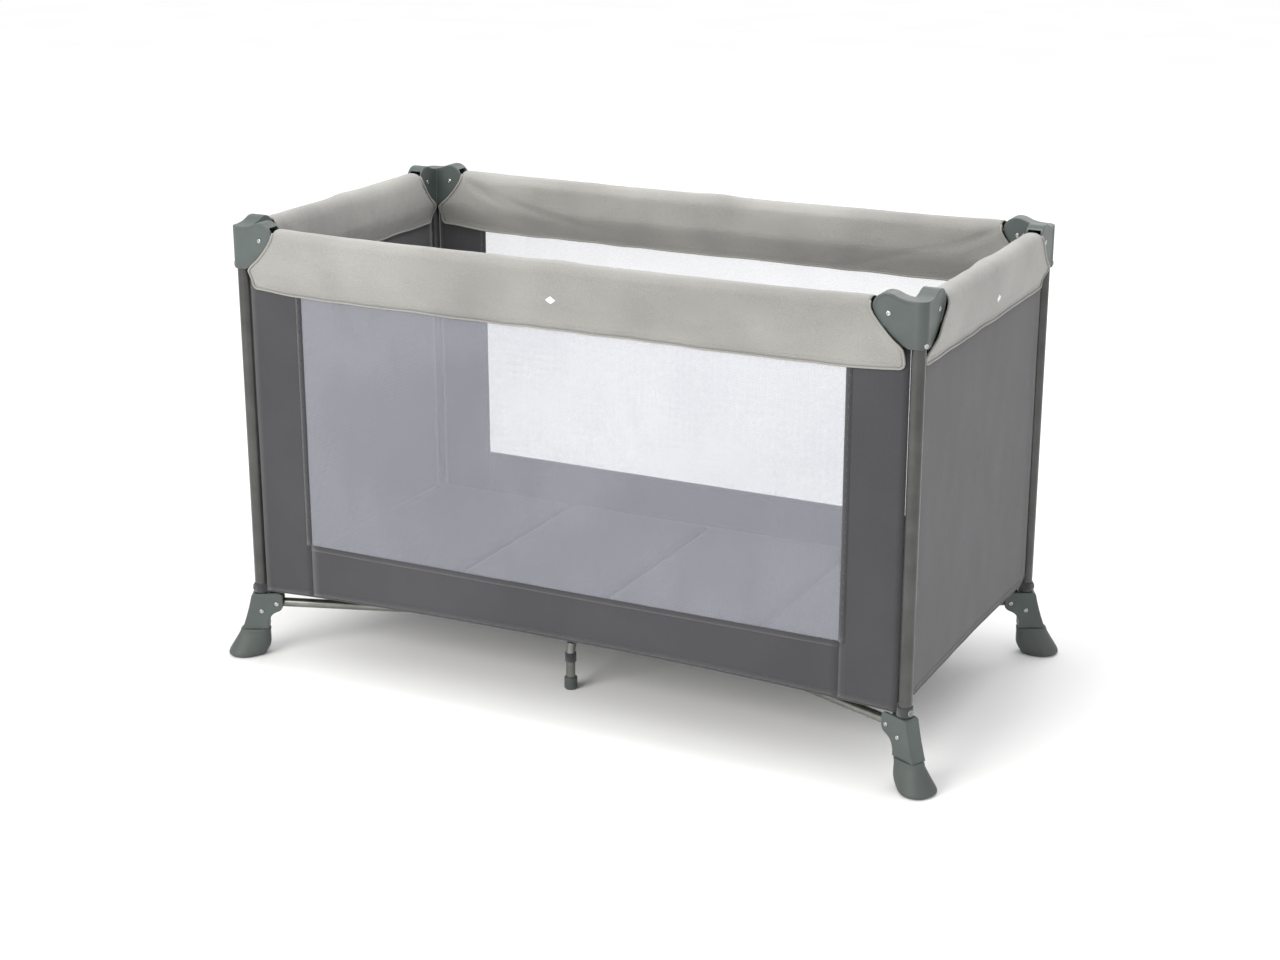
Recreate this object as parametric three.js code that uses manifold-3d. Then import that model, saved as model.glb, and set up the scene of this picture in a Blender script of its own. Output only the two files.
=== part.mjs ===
// A folding travel play yard: four corner posts on splayed feet, four top rails that break in the middle,
// a floor hub with four diagonal tubes, two centre legs, a four-panel mattress and the fabric around them.
// Millimetres, +Z up. The origin is on the floor under the middle of the yard; +X runs along its length and
// -Y faces the front.
import * as THREE from "three";
import { mergeVertices } from "three/addons/utils/BufferGeometryUtils.js";
import Module from "manifold-3d";

const wasm = await Module();
wasm.setup();

// ---- Driving dimensions -------------------------------------------------------------------------------------
const HALF_LENGTH = 600; // middle to post axis, along X
const HALF_WIDTH = 304; // middle to post axis, along Y
const GAP = 0.3; // between pieces that touch
const RUNNING = 0.4; // radial clearance of a hinge pin
const WALL = 1.2; // steel tube wall

const POST_RADIUS = 11;
const POST_BOTTOM = 56;
const POST_TOP = 748;

const RAIL_Z = 750; // axis of the top rails
const RAIL_RADIUS = 9;
const RAIL_PIVOT = 44; // post axis to the pin that holds a rail's end
const RAIL_STUB = 10; // tube beyond that pin
const RAIL_BREAK = 30; // middle of a rail to the end of each of its tubes
const KNUCKLE_UP = 12; // the middle hinge pin lies this far above the rail's axis
const KNUCKLE_RADIUS = 5.5;
const KNUCKLE_PIN = 2;

const FLOOR_TUBE_RADIUS = 8;
const HUB_PIVOT = 75; // yard's middle to the pins of the floor tubes and centre legs
const HUB_PIVOT_Z = 66;
const FOOT_PIVOT = 27; // post axis to the pin in a foot, measured inwards
const FOOT_PIVOT_Z = 97;
const PIN_RADIUS = 3;

const MATTRESS_BOTTOM = 131;
const MATTRESS_TOP = 157;
const MATTRESS_HALF_LENGTH = 578;
const MATTRESS_HALF_WIDTH = 279;
const PANEL_GAP = 1.6;

const FLOOR_FABRIC_Z = 128;
const FABRIC = 2.5;
const WALL_BOTTOM = 125;

const DIAGONAL = Math.hypot(HALF_LENGTH, HALF_WIDTH);
const ROUND = 16; // sides of a tube or pin

// A corner's wings point along +X and +Y before it is turned about Z. A side's rail starts at its corner's post.
const CORNERS = [
  { corner: "front_left", sx: -1, sy: -1, turn: 0 },
  { corner: "front_right", sx: 1, sy: -1, turn: 90 },
  { corner: "back_right", sx: 1, sy: 1, turn: 180 },
  { corner: "back_left", sx: -1, sy: 1, turn: -90 },
];
const SIDES = ["front", "right", "back", "left"];

// ---- Materials ----------------------------------------------------------------------------------------------
const plastic = (color) =>
  new THREE.MeshStandardMaterial({ color, roughness: 0.55, metalness: 0 });
const cloth = (color) =>
  new THREE.MeshStandardMaterial({ color, roughness: 0.95, metalness: 0 });
const HOUSING_PLASTIC = plastic(0x7b8683);
const BOOT_RUBBER = plastic(0x6f7774);
const LATCH_PLASTIC = plastic(0x4a4d4f);
const TUBE_PAINT = new THREE.MeshStandardMaterial({
  color: 0x77797a,
  roughness: 0.4,
  metalness: 0.6,
});
const COVER_CLOTH = cloth(0xb9b9b6);
const WALL_CLOTH = cloth(0x5a5a5c);
const MATTRESS_CLOTH = cloth(0x8f9198);

// ---- Solids -------------------------------------------------------------------------------------------------
const radians = (degrees) => (degrees * Math.PI) / 180;

function toSolid(geometry) {
  const bare = geometry.clone();
  bare.deleteAttribute("normal");
  bare.deleteAttribute("uv");
  const merged = mergeVertices(bare, 1e-4);
  return new wasm.Manifold(
    new wasm.Mesh({
      numProp: 3,
      vertProperties: new Float32Array(merged.attributes.position.array),
      triVerts: new Uint32Array(merged.index.array),
    }),
  );
}

function toGeometry(solid) {
  const mesh = solid.getMesh();
  const geometry = new THREE.BufferGeometry();
  geometry.setAttribute(
    "position",
    new THREE.BufferAttribute(new Float32Array(mesh.vertProperties), 3),
  );
  geometry.setIndex(new THREE.BufferAttribute(new Uint32Array(mesh.triVerts), 1));
  geometry.computeVertexNormals();
  return geometry;
}

function combine(base, added, removed) {
  let solid = toSolid(base);
  for (const geometry of added) solid = solid.add(toSolid(geometry));
  for (const geometry of removed) solid = solid.subtract(toSolid(geometry));
  return toGeometry(solid);
}

// A box from its lowest to its highest corner.
function block(low, high) {
  const size = high.map((value, i) => value - low[i]);
  const middle = high.map((value, i) => (value + low[i]) / 2);
  return new THREE.BoxGeometry(...size).translate(...middle);
}

// A cylinder along one axis, centred on a point.
function rod(axis, radius, length, centre, sides = ROUND) {
  const geometry = new THREE.CylinderGeometry(radius, radius, length, sides);
  if (axis === "x") geometry.rotateZ(-Math.PI / 2);
  if (axis === "z") geometry.rotateX(Math.PI / 2);
  return geometry.translate(...centre);
}

// An open-ended tube along X or Z, from one coordinate to another.
function tube(axis, radius, from, to) {
  const length = to - from;
  const profile = [
    new THREE.Vector2(radius - WALL, 0),
    new THREE.Vector2(radius, 0),
    new THREE.Vector2(radius, length),
    new THREE.Vector2(radius - WALL, length),
    new THREE.Vector2(radius - WALL, 0),
  ];
  const geometry = new THREE.LatheGeometry(profile, ROUND);
  if (axis === "x") return geometry.rotateZ(-Math.PI / 2).translate(from, 0, 0);
  return geometry.rotateX(Math.PI / 2).translate(0, 0, from);
}

// An outline in the X-Z plane, given a thickness along Y about y = 0.
function plate(outline, thickness) {
  const shape = outline instanceof THREE.Shape ? outline : new THREE.Shape(points(outline));
  return new THREE.ExtrudeGeometry(shape, {
    depth: thickness,
    bevelEnabled: false,
    curveSegments: 8,
  })
    .rotateX(Math.PI / 2)
    .translate(0, thickness / 2, 0);
}

const points = (pairs) => pairs.map(([a, b]) => new THREE.Vector2(a, b));

// Rings of the same number of points, joined in order and capped at both ends.
function loft(rings) {
  const count = rings[0].length;
  const position = rings.flat(2);
  const index = [];
  for (let ring = 0; ring + 1 < rings.length; ring++) {
    for (let i = 0; i < count; i++) {
      const j = (i + 1) % count;
      const [a, b, c, d] = [i, j, j + count, i + count].map((k) => k + ring * count);
      index.push(a, b, c, a, c, d);
    }
  }
  const last = (rings.length - 1) * count;
  for (let i = 1; i + 1 < count; i++) {
    index.push(0, i + 1, i, last, last + i, last + i + 1);
  }
  const geometry = new THREE.BufferGeometry();
  geometry.setAttribute("position", new THREE.Float32BufferAttribute(position, 3));
  geometry.setIndex(index);
  return geometry;
}

// ---- Feet: local +X points outwards along the yard's diagonal, and the post's axis is X = 0 -------------------
const BRACKET_HALF = 14;
const BRACKET_TOP = 116;
const BOOT_TOP = 50;
const EAR_SLOT = FLOOR_TUBE_RADIUS + 0.9;
const SWING = 13; // room that a tube's end needs round its pin

// The bracket leans outwards with the boot under it, and its ears reach inwards to hold a floor tube's end. The
// slot between them is open below, where the tube stands when the yard is folded.
function footBracket() {
  const outline = [
    [-11, BOOT_TOP + GAP],
    [36, BOOT_TOP + GAP],
    [28, 70],
    [20.5, 98],
    [16, BRACKET_TOP],
    [-31, BRACKET_TOP],
    [-38, 108],
    [-38, 92],
    [-31, 84],
    [-17, 76],
    [-11, 62],
  ];
  const spigot = block([-5.7, -8.7, 28], [19.7, 8.7, BOOT_TOP + 1]);
  const earPin = rod("y", PIN_RADIUS, 2 * BRACKET_HALF - 2, [-FOOT_PIVOT, 0, FOOT_PIVOT_Z]);
  const heads = [
    rod("y", 4.5, 2 * BRACKET_HALF + 3, [0, 0, 84]),
    rod("y", 4.5, 2 * BRACKET_HALF + 3, [-FOOT_PIVOT, 0, FOOT_PIVOT_Z]),
  ];
  const socket = rod("z", POST_RADIUS + GAP, 80, [0, 0, POST_BOTTOM - GAP + 40]);
  const slot = block([-60, -EAR_SLOT, BOOT_TOP], [-FOOT_PIVOT + SWING, EAR_SLOT, 140]);
  const body = combine(plate(outline, 2 * BRACKET_HALF), [spigot, ...heads], [socket, slot]);
  return combine(body, [earPin], []);
}

// One level of the boot: a narrow flat heel at x = heel, sides that flare, and a round toe out to x = toe.
function bootRing(heel, toe, heelHalf, toeHalf, z) {
  const arc = 12;
  const centre = heel + (toe - heel) * 0.55;
  const ring = [
    [heel, heelHalf, z],
    [heel, -heelHalf, z],
  ];
  for (let i = 0; i <= arc; i++) {
    const angle = -Math.PI / 2 + (Math.PI * i) / arc;
    ring.push([centre + (toe - centre) * Math.cos(angle), toeHalf * Math.sin(angle), z]);
  }
  return ring;
}

function footBoot() {
  const solid = loft([
    bootRing(-1, 57, 16, 27, 0),
    bootRing(-5, 63, 18, 31, 6),
    bootRing(-12, 55, 18, 26.5, 19),
    bootRing(-11, 36.5, 14, 16, BOOT_TOP),
  ]);
  const pocket = block([-6, -9, 27.7], [20, 9, BOOT_TOP + 10]);
  return combine(solid, [], [pocket]);
}

// ---- Corner housing: wings along +X and +Y round the post's top ---------------------------------------------
const WING_LENGTH = 70;
const WING_HALF = 14;
const POCKET_HALF = 10.8;
const HOUSING_BOTTOM = 699;
const HOUSING_TOP = 771;
const SLEEVE_RADIUS = 15;

function wing() {
  const outline = new THREE.Shape();
  outline.moveTo(0, HOUSING_BOTTOM);
  outline.lineTo(13, HOUSING_BOTTOM);
  outline.quadraticCurveTo(50, 722, WING_LENGTH - 3, 750);
  outline.quadraticCurveTo(WING_LENGTH + 3, 764, WING_LENGTH - 8, 775);
  outline.quadraticCurveTo(50, 785, 32, 776);
  outline.quadraticCurveTo(22, HOUSING_TOP, 14, HOUSING_TOP);
  outline.lineTo(0, HOUSING_TOP);
  const pocket = plate(
    [
      [17, 660],
      [100, 660],
      [100, 764],
      [72, 768],
      [58, 775],
      [45, 774],
      [30, 768],
      [17, 757],
    ],
    2 * POCKET_HALF,
  );
  return combine(plate(outline, 2 * WING_HALF), [], [pocket]);
}

function cornerHousing() {
  const sleeve = rod("z", SLEEVE_RADIUS, HOUSING_TOP - HOUSING_BOTTOM, [
    0,
    0,
    (HOUSING_TOP + HOUSING_BOTTOM) / 2,
  ]);
  const rivets = rod("y", 4.5, 2 * WING_HALF + 3, [RAIL_PIVOT, 0, RAIL_Z]);
  const inside = rod("y", 20, 2 * POCKET_HALF, [RAIL_PIVOT, 0, RAIL_Z]);
  const heads = combine(rivets, [], [inside]);
  // The wing along +Y holds the far end of the next side's rail, which is left without a pin.
  const open = combine(wing(), [], []).rotateZ(Math.PI / 2);
  const bore = rod("z", POST_RADIUS + GAP, 80, [0, 0, POST_TOP + GAP - 40]);
  const shell = combine(sleeve, [wing(), open], [bore]);
  const solid = toSolid(shell);
  const parts = toSolid(heads).decompose();
  const turned = toSolid(heads.clone().rotateZ(Math.PI / 2)).decompose();
  const pin = toSolid(rod("y", PIN_RADIUS, 2 * WING_HALF - 2, [RAIL_PIVOT, 0, RAIL_Z]));
  return toGeometry([...parts, ...turned, pin].reduce((sum, piece) => sum.add(piece), solid));
}

// ---- Top rails: local +X runs along the side from its first post, +Y points into the yard --------------------
const LATCH_HALF = 13;
const LATCH_REACH = 62; // middle of the rail to the end of each latch block
const LATCH_BOTTOM = RAIL_Z - 40;
const BLOCK_BOTTOM = RAIL_Z - 14;
const BLOCK_TOP = RAIL_Z + KNUCKLE_UP - 1;
const KNUCKLE_Z = RAIL_Z + KNUCKLE_UP;
const KNUCKLE_HALF = 5; // the catch's middle knuckle
const BUTTON = { low: -16, high: 8, bottom: 714, top: 730 };

function railHalf(from, to, pinAt) {
  const hole = rod("y", PIN_RADIUS + RUNNING, 40, [pinAt, 0, 0]);
  return combine(tube("x", RAIL_RADIUS, from, to), [], [hole]).translate(0, 0, RAIL_Z);
}

function latchBody(middle) {
  const upper = block(
    [middle - LATCH_REACH, -LATCH_HALF, LATCH_BOTTOM],
    [middle - 1.5, LATCH_HALF, BLOCK_TOP],
  );
  const tongue = block(
    [middle - LATCH_REACH, -LATCH_HALF, LATCH_BOTTOM],
    [middle + 22, LATCH_HALF, BLOCK_BOTTOM - 1.5],
  );
  const knuckles = [-1, 1].map((side) =>
    rod("y", KNUCKLE_RADIUS, 7, [middle, side * (KNUCKLE_HALF + 4), KNUCKLE_Z]),
  );
  const bore = rod("x", RAIL_RADIUS + GAP, 60, [
    middle - RAIL_BREAK + GAP - 30,
    0,
    RAIL_Z,
  ]);
  const notch = rod("y", KNUCKLE_RADIUS + 0.8, 2 * KNUCKLE_HALF + 1, [middle, 0, KNUCKLE_Z]);
  const pocket = block(
    [middle + BUTTON.low - 0.5, -LATCH_HALF - 5, BUTTON.bottom - 0.5],
    [middle + BUTTON.high + 0.5, -2, BUTTON.top + 0.5],
  );
  const pin = rod("y", KNUCKLE_PIN, 2 * KNUCKLE_HALF + 6, [middle, 0, KNUCKLE_Z], 10);
  const body = combine(upper, [tongue, ...knuckles], [bore, notch, pocket]);
  return combine(body, [pin], []);
}

function latchButton(middle) {
  return block(
    [middle + BUTTON.low, -LATCH_HALF - 2.5, BUTTON.bottom],
    [middle + BUTTON.high, -LATCH_HALF + 6, BUTTON.top],
  );
}

function latchCatch(middle) {
  const upper = block(
    [middle + 1.5, -LATCH_HALF, BLOCK_BOTTOM],
    [middle + LATCH_REACH, LATCH_HALF, BLOCK_TOP],
  );
  const knuckle = rod("y", KNUCKLE_RADIUS, 2 * KNUCKLE_HALF, [middle, 0, KNUCKLE_Z]);
  const bore = rod("x", RAIL_RADIUS + GAP, 60, [
    middle + RAIL_BREAK - GAP + 30,
    0,
    RAIL_Z,
  ]);
  const notches = [-1, 1].map((side) =>
    rod("y", KNUCKLE_RADIUS + 0.8, 10, [middle, side * (KNUCKLE_HALF + 5.5), KNUCKLE_Z]),
  );
  const hole = rod("y", KNUCKLE_PIN + RUNNING, 40, [middle, 0, KNUCKLE_Z], 10);
  return combine(upper, [knuckle], [bore, ...notches, hole]);
}

// The padded sleeve over a whole rail, hollow and open at both ends. Its ends are cut away round the housings'
// wings, and below them its sides reach almost to the posts.
const COVER_HALF = 19.5;
const COVER_TOP = 771;
const COVER_SKIN = 2.7;
const COVER_END = [
  [20, 697],
  [30, 705],
  [44, 717],
  [57, 731],
  [68, 745],
  [74, 755],
  [74, COVER_TOP],
];

function railCover(span, bottom) {
  const first = [[COVER_END[0][0], bottom], ...COVER_END];
  const last = first.map(([x, z]) => [span - x, z]).reverse();
  const cavity = block(
    [0, -COVER_HALF + COVER_SKIN, bottom + COVER_SKIN],
    [span, COVER_HALF - COVER_SKIN, COVER_TOP - COVER_SKIN],
  );
  return combine(plate([...first, ...last], 2 * COVER_HALF), [], [cavity]);
}

function wallPanel(span, top) {
  const edge = POST_RADIUS + 2;
  return block(
    [edge, -FABRIC / 2, WALL_BOTTOM],
    [span - edge, FABRIC / 2, top - GAP],
  );
}

// ---- Floor: hub, tubes, centre legs, fabric and mattress -----------------------------------------------------
const HUB_RADIUS = 92;
const HUB_BOTTOM = 50;
const HUB_TOP = 89;
const LEG_AZIMUTH = Math.atan2(-200, -39); // the front leg; the back leg is opposite
const LEG_PIVOT_Z = 72;
const LEG_RADIUS_OUT = 204;
const LEG_SLOT_TOP = 86.5;
const TUBE_SLOT_TOP = 79;
const cornerAzimuth = ({ sx, sy }) => Math.atan2(sy * HALF_WIDTH, sx * HALF_LENGTH);

function hubBody() {
  const disc = rod("z", HUB_RADIUS, HUB_TOP - HUB_BOTTOM, [0, 0, (HUB_TOP + HUB_BOTTOM) / 2], 48);
  const slots = [];
  const pins = [];
  const addArm = (azimuth, ceiling, pinZ) => {
    const slot = block([HUB_PIVOT - SWING, -EAR_SLOT, 0], [140, EAR_SLOT, ceiling]);
    slots.push(slot.rotateZ(azimuth));
    pins.push(rod("y", PIN_RADIUS, 24, [HUB_PIVOT, 0, pinZ]).rotateZ(azimuth));
  };
  for (const corner of CORNERS) addArm(cornerAzimuth(corner), TUBE_SLOT_TOP, HUB_PIVOT_Z);
  for (const turn of [0, Math.PI]) addArm(LEG_AZIMUTH + turn, LEG_SLOT_TOP, LEG_PIVOT_Z);
  return combine(combine(disc, [], slots), pins, []);
}

function hubCap() {
  const profile = points([
    [0, 0],
    [52, 0],
    [52, 3],
    [40, 8],
    [0, 9.5],
  ]);
  return new THREE.LatheGeometry(profile, 32).rotateX(Math.PI / 2).translate(0, 0, HUB_TOP + GAP);
}

// A webbing tab with a thicker sewn end, standing on the hub under the floor fabric.
function pullStrap() {
  const foot = HUB_TOP + 10.2;
  return plate(
    [
      [-1.5, foot],
      [1.5, foot],
      [1.5, 108],
      [4, 111],
      [4, 122],
      [-4, 122],
      [-4, 111],
      [-1.5, 108],
    ],
    25,
  );
}

// Local +X points outwards along the diagonal, from the yard's middle.
function floorTube() {
  const outer = DIAGONAL - FOOT_PIVOT;
  const run = outer - HUB_PIVOT;
  const rise = FOOT_PIVOT_Z - HUB_PIVOT_Z;
  const length = Math.hypot(run, rise);
  const stub = 9;
  const holes = [0, length].map((x) => rod("y", PIN_RADIUS + RUNNING, 40, [x, 0, 0]));
  return combine(tube("x", FLOOR_TUBE_RADIUS, -stub, length + stub), [], holes)
    .rotateY(-Math.atan2(rise, run))
    .translate(HUB_PIVOT, 0, HUB_PIVOT_Z);
}

function centreLeg() {
  const elbow = new THREE.Vector3(LEG_RADIUS_OUT, 0, 96);
  const path = new THREE.CurvePath();
  const start = new THREE.Vector3(HUB_PIVOT - 8, 0, LEG_PIVOT_Z - 1.5);
  const before = new THREE.Vector3(LEG_RADIUS_OUT - 26, 0, 89);
  const after = new THREE.Vector3(LEG_RADIUS_OUT, 0, 68);
  const end = new THREE.Vector3(LEG_RADIUS_OUT, 0, 4);
  const bend = new THREE.QuadraticBezierCurve3(before, elbow, after).getPoints(5);
  const route = [start, ...bend, end];
  for (let i = 0; i + 1 < route.length; i++) {
    path.add(new THREE.LineCurve3(route[i], route[i + 1]));
  }
  const section = new THREE.Shape().absarc(0, 0, FLOOR_TUBE_RADIUS, 0, 2 * Math.PI);
  section.holes.push(new THREE.Path().absarc(0, 0, FLOOR_TUBE_RADIUS - WALL, 0, 2 * Math.PI));
  const bent = new THREE.ExtrudeGeometry(section, {
    extrudePath: new THREE.CatmullRomCurve3(route, false, "centripetal"),
    steps: 14,
    curveSegments: 6,
  });
  const hole = rod("y", PIN_RADIUS + RUNNING, 40, [HUB_PIVOT, 0, LEG_PIVOT_Z]);
  return combine(bent, [], [hole]);
}

function legCap() {
  const inner = FLOOR_TUBE_RADIUS + GAP;
  const profile = points([
    [0, 0],
    [9.5, 0],
    [11.2, 2],
    [11.2, 20],
    [10, 22],
    [inner, 22],
    [inner, 3],
    [0, 3],
  ]);
  return new THREE.LatheGeometry(profile, 20)
    .rotateX(Math.PI / 2)
    .translate(LEG_RADIUS_OUT, 0, 0);
}

function floorFabric() {
  const x = HALF_LENGTH - 3;
  const y = HALF_WIDTH - 3;
  const notch = 20;
  const outline = new THREE.Shape(
    points([
      [x - notch, -y],
      [x, -y + notch],
      [x, y - notch],
      [x - notch, y],
      [-x + notch, y],
      [-x, y - notch],
      [-x, -y + notch],
      [-x + notch, -y],
    ]),
  );
  const slit = new THREE.Path(
    points([
      [-9, -20],
      [-9, 20],
      [9, 20],
      [9, -20],
    ]),
  );
  outline.holes.push(slit);
  return new THREE.ExtrudeGeometry(outline, { depth: FABRIC - 0.2, bevelEnabled: false }).translate(
    0,
    0,
    FLOOR_FABRIC_Z,
  );
}

function mattressPanel(index) {
  const pitch = (2 * MATTRESS_HALF_LENGTH) / 4;
  const low = -MATTRESS_HALF_LENGTH + index * pitch;
  const lowGap = index > 0 ? PANEL_GAP / 2 : 0;
  const highGap = index < 3 ? PANEL_GAP / 2 : 0;
  return block(
    [low + lowGap, -MATTRESS_HALF_WIDTH, MATTRESS_BOTTOM],
    [low + pitch - highGap, MATTRESS_HALF_WIDTH, MATTRESS_TOP],
  );
}

// ---- Assembly ------------------------------------------------------------------------------------------------
const yard = new THREE.Group();

function addNode(parent, name, geometry, material) {
  const mesh = new THREE.Mesh(geometry, material);
  mesh.name = name;
  parent.add(mesh);
}

addNode(yard, "hub_body", hubBody(), HOUSING_PLASTIC);
addNode(yard, "hub_cap", hubCap(), LATCH_PLASTIC);
addNode(yard, "pull_strap", pullStrap(), WALL_CLOTH);
addNode(yard, "floor_fabric", floorFabric(), WALL_CLOTH);
for (let i = 0; i < 4; i++) {
  addNode(yard, `mattress_panel_${i + 1}`, mattressPanel(i), MATTRESS_CLOTH);
}

for (const [name, turn] of [
  ["front", 0],
  ["back", Math.PI],
]) {
  const arm = new THREE.Group();
  arm.rotation.z = LEG_AZIMUTH + turn;
  addNode(arm, `${name}_centre_leg`, centreLeg(), TUBE_PAINT);
  addNode(arm, `${name}_centre_leg_cap`, legCap(), BOOT_RUBBER);
  yard.add(arm);
}

CORNERS.forEach((entry, i) => {
  const { corner, sx, sy, turn } = entry;
  const side = SIDES[i];
  const isLong = i % 2 === 0;
  const span = 2 * (isLong ? HALF_LENGTH : HALF_WIDTH);
  const coverBottom = isLong ? 660 : 668;

  const diagonal = new THREE.Group();
  diagonal.rotation.z = cornerAzimuth(entry);
  addNode(diagonal, `floor_tube_${corner}`, floorTube(), TUBE_PAINT);
  yard.add(diagonal);

  const foot = new THREE.Group();
  foot.position.set(sx * HALF_LENGTH, sy * HALF_WIDTH, 0);
  foot.rotation.z = cornerAzimuth(entry);
  addNode(foot, `foot_bracket_${corner}`, footBracket(), HOUSING_PLASTIC);
  addNode(foot, `foot_boot_${corner}`, footBoot(), BOOT_RUBBER);
  yard.add(foot);

  const frame = new THREE.Group();
  frame.position.set(sx * HALF_LENGTH, sy * HALF_WIDTH, 0);
  frame.rotation.z = radians(turn);
  addNode(frame, `post_${corner}`, tube("z", POST_RADIUS, POST_BOTTOM, POST_TOP), TUBE_PAINT);
  addNode(frame, `corner_housing_${corner}`, cornerHousing(), HOUSING_PLASTIC);

  const middle = span / 2;
  const first = RAIL_PIVOT - RAIL_STUB;
  const latchHalf = railHalf(first, middle - RAIL_BREAK, RAIL_PIVOT);
  const catchHalf = railHalf(middle + RAIL_BREAK, span - first, span - RAIL_PIVOT);
  addNode(frame, `${side}_rail_latch_half`, latchHalf, TUBE_PAINT);
  addNode(frame, `${side}_rail_catch_half`, catchHalf, TUBE_PAINT);
  addNode(frame, `${side}_latch_body`, latchBody(middle), LATCH_PLASTIC);
  addNode(frame, `${side}_latch_button`, latchButton(middle), BOOT_RUBBER);
  addNode(frame, `${side}_latch_catch`, latchCatch(middle), LATCH_PLASTIC);
  addNode(frame, `${side}_rail_cover`, railCover(span, coverBottom), COVER_CLOTH);
  addNode(frame, `${side}_wall`, wallPanel(span, coverBottom), WALL_CLOTH);
  yard.add(frame);
});

export default yard;
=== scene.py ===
"""Looks of the folding travel play yard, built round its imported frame.

Metres. +X runs along the yard, -Y faces its front, and the floor is at z = 0.
"""

import math

import bmesh
import bpy
from mathutils import Matrix, Vector, noise
from mathutils.bvhtree import BVHTree


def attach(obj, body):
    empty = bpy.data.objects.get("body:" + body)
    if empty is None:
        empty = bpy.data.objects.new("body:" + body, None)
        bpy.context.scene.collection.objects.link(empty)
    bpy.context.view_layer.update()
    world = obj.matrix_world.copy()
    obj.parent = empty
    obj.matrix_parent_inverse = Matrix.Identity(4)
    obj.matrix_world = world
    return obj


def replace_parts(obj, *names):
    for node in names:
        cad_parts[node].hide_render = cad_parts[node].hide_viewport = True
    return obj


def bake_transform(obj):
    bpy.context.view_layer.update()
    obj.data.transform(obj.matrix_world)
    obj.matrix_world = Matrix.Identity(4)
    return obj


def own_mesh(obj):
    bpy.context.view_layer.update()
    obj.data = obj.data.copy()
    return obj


MM = 0.001
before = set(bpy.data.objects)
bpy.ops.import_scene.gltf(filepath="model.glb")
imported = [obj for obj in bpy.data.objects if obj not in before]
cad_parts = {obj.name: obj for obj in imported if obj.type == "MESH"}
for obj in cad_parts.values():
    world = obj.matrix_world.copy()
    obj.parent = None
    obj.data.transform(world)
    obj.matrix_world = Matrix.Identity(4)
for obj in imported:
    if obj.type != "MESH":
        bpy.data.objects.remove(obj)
scene = bpy.context.scene


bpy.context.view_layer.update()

# ---- Camera and light --------


def link(thing):
    scene.collection.objects.link(thing)
    return thing


camera = link(bpy.data.objects.new("camera", bpy.data.cameras.new("camera")))
camera.location = (1.675, -3.347, 1.539)
camera.rotation_euler = (math.radians(71.98), 0, math.radians(26.69))
camera.data.lens = 63.84
camera.data.sensor_width = 36
scene.camera = camera


def linear(code):
    """An sRGB hex colour as opaque linear RGBA."""
    channels = [int(code[i : i + 2], 16) / 255 for i in (1, 3, 5)]
    return [c / 12.92 if c <= 0.04045 else ((c + 0.055) / 1.055) ** 2.4 for c in channels] + [1.0]


def soft_light(name, size, energy, place, target, colour):
    lamp = bpy.data.lights.new(name, "AREA")
    lamp.shape = "RECTANGLE"
    lamp.size, lamp.size_y = size
    lamp.energy = energy
    lamp.color = linear(colour)[:3]
    holder = link(bpy.data.objects.new(name, lamp))
    holder.location = place
    holder.rotation_euler = (Vector(target) - Vector(place)).to_track_quat("-Z", "Y").to_euler()


soft_light("key_softbox", (3.0, 2.2), 165, (-1.6, -4.6, 2.5), (0, 0, 0.5), "#fffdf8")
soft_light("fill_softbox", (2.0, 2.4), 3, (3.8, -1.2, 1.8), (0.2, 0, 0.4), "#f4f3ff")
soft_light("back_softbox", (3.0, 2.0), 36, (0.5, 3.4, 3.0), (0, 0, 0.4), "#ffffff")
soft_light("overhead_softbox", (1.2, 0.5), 15, (0, -0.05, 2.1), (0, 0, 0.4), "#ffffff")
world = bpy.data.worlds.new("studio")
scene.world = world
world.use_nodes = True
daylight = world.node_tree.nodes["Background"].inputs
daylight["Color"].default_value = linear("#ffffff")
daylight["Strength"].default_value = 1.0
scene.view_settings.view_transform = "Standard"

# ---- Materials --------


def add(tree, kind, inputs=None, **settings):
    """Adds a node with its settings; an input is a value or another node's output."""
    node = tree.nodes.new(kind)
    for key, value in settings.items():
        setattr(node, key, value)
    for key, value in (inputs or {}).items():
        if isinstance(value, bpy.types.NodeSocket):
            tree.links.new(value, node.inputs[key])
        else:
            node.inputs[key].default_value = value
    return node


def surface(name, **sockets):
    """A new material's tree, its shader and its Object coordinates."""
    material = bpy.data.materials.new(name)
    material.use_nodes = True
    tree = material.node_tree
    shader = tree.nodes["Principled BSDF"]
    for key, value in sockets.items():
        shader.inputs[key.replace("_", " ")].default_value = value
    place = add(tree, "ShaderNodeTexCoord").outputs["Object"]
    return material, tree, shader, place


def tint(tree, shader, factor, low, high, start=0.35, end=0.65):
    """Lets the colour wander from low to high as factor goes from start to end."""
    ramp = add(tree, "ShaderNodeValToRGB", {"Fac": factor})
    for stop, position, colour in zip(ramp.color_ramp.elements, (start, end), (low, high)):
        stop.position = position
        stop.color = linear(colour)
    tree.links.new(ramp.outputs["Color"], shader.inputs["Base Color"])


def relief(tree, place, scale, detail, depth, strength, over=None):
    """Small bumps, scale of them to a metre, laid over another relief where there is one."""
    lumps = add(tree, "ShaderNodeTexNoise", {"Vector": place, "Scale": scale, "Detail": detail})
    inputs = {"Height": lumps.outputs["Fac"], "Distance": depth, "Strength": strength}
    if over is not None:
        inputs["Normal"] = over
    return add(tree, "ShaderNodeBump", inputs).outputs["Normal"]


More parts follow.
